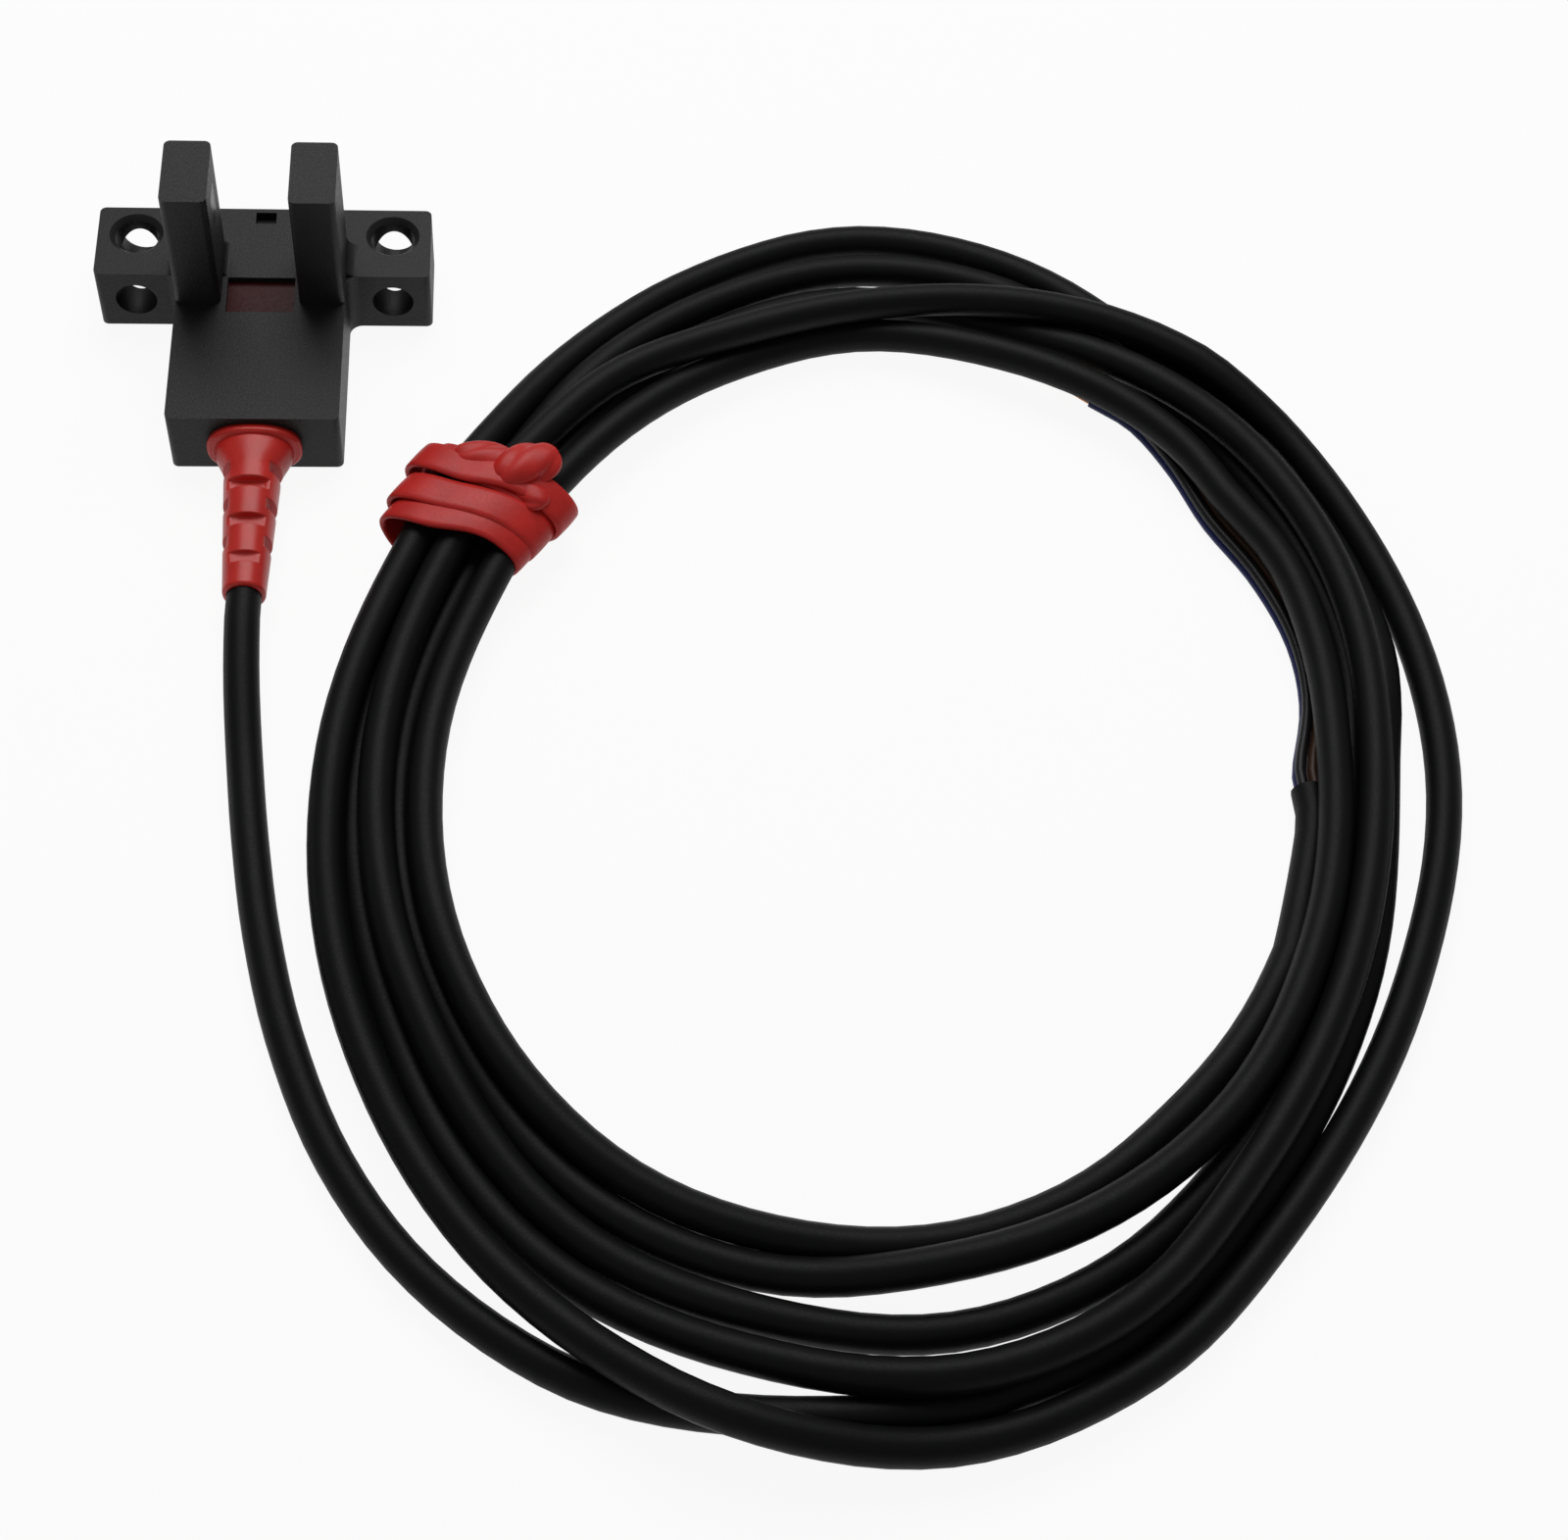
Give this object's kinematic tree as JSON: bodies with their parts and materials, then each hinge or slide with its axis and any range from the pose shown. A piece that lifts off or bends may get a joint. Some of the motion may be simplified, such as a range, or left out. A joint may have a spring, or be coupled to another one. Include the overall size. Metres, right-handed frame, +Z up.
{
  "type": "fork sensor",
  "caption": "T-shaped slotted light sensor: a fork across a mounting flange, an indicator lens, a ribbed cable boot and a tied coil of round lead with free cores.",
  "frame": {"origin": "midway between the two upright mounting holes, on the mounting face", "axes": "+Z up along the fork arms and the upright holes; +X across the wings; the lead leaves towards -Y"},
  "size_m": [0.1019, 0.1041, 0.0165],
  "materials": {
    "housing_black": "matte moulded, fine grain",
    "cover_black": "matte moulded",
    "lens_red": "clear red, smooth",
    "window_dark": "dark smooth filter",
    "emitter_resin": "tinted resin",
    "receiver_resin": "black resin",
    "tinned_metal": "tinned",
    "board_green": "solder mask",
    "chip_black": "moulded epoxy",
    "ceramic_tan": "ceramic",
    "light_body": "pale resin",
    "boot_red": "soft matte",
    "cable_black": "soft jacket, satin",
    "tie_red": "soft flat strip",
    "core_blue": "smooth insulation",
    "core_white": "smooth insulation",
    "core_black": "smooth insulation",
    "core_brown": "smooth insulation",
    "bare_copper": "stranded copper"
  },
  "bodies": {
    "root": {"housing": "housing_black", "bottom_cover": "cover_black", "indicator_lens": "lens_red", "emitter_window": "window_dark", "receiver_window": "window_dark", "emitter": "emitter_resin", "emitter_lead_a": "tinned_metal", "emitter_lead_b": "tinned_metal", "receiver": "receiver_resin", "receiver_lead_a": "tinned_metal", "receiver_lead_b": "tinned_metal", "circuit_board": "board_green", "indicator_light": "light_body", "amplifier_chip": "chip_black", "output_transistor": "chip_black", "capacitor": "ceramic_tan", "resistor_a": "chip_black", "resistor_b": "chip_black", "resistor_c": "chip_black", "cable_boot": "boot_red", "cable_anchor": "tinned_metal", "cable_stub": "cable_black", "inner_core_a": "core_blue", "inner_core_b": "core_white", "inner_core_c": "core_black", "inner_core_d": "core_brown", "cable_tail": "cable_black", "cable_coil": "cable_black", "coil_tie": "tie_red", "cable_end": "cable_black", "core_blue": "core_blue", "core_white": "core_white", "core_black": "core_black", "core_brown": "core_brown", "tip_blue": "bare_copper", "tip_white": "bare_copper", "tip_black": "bare_copper", "tip_brown": "bare_copper"}
  },
  "joints": []
}
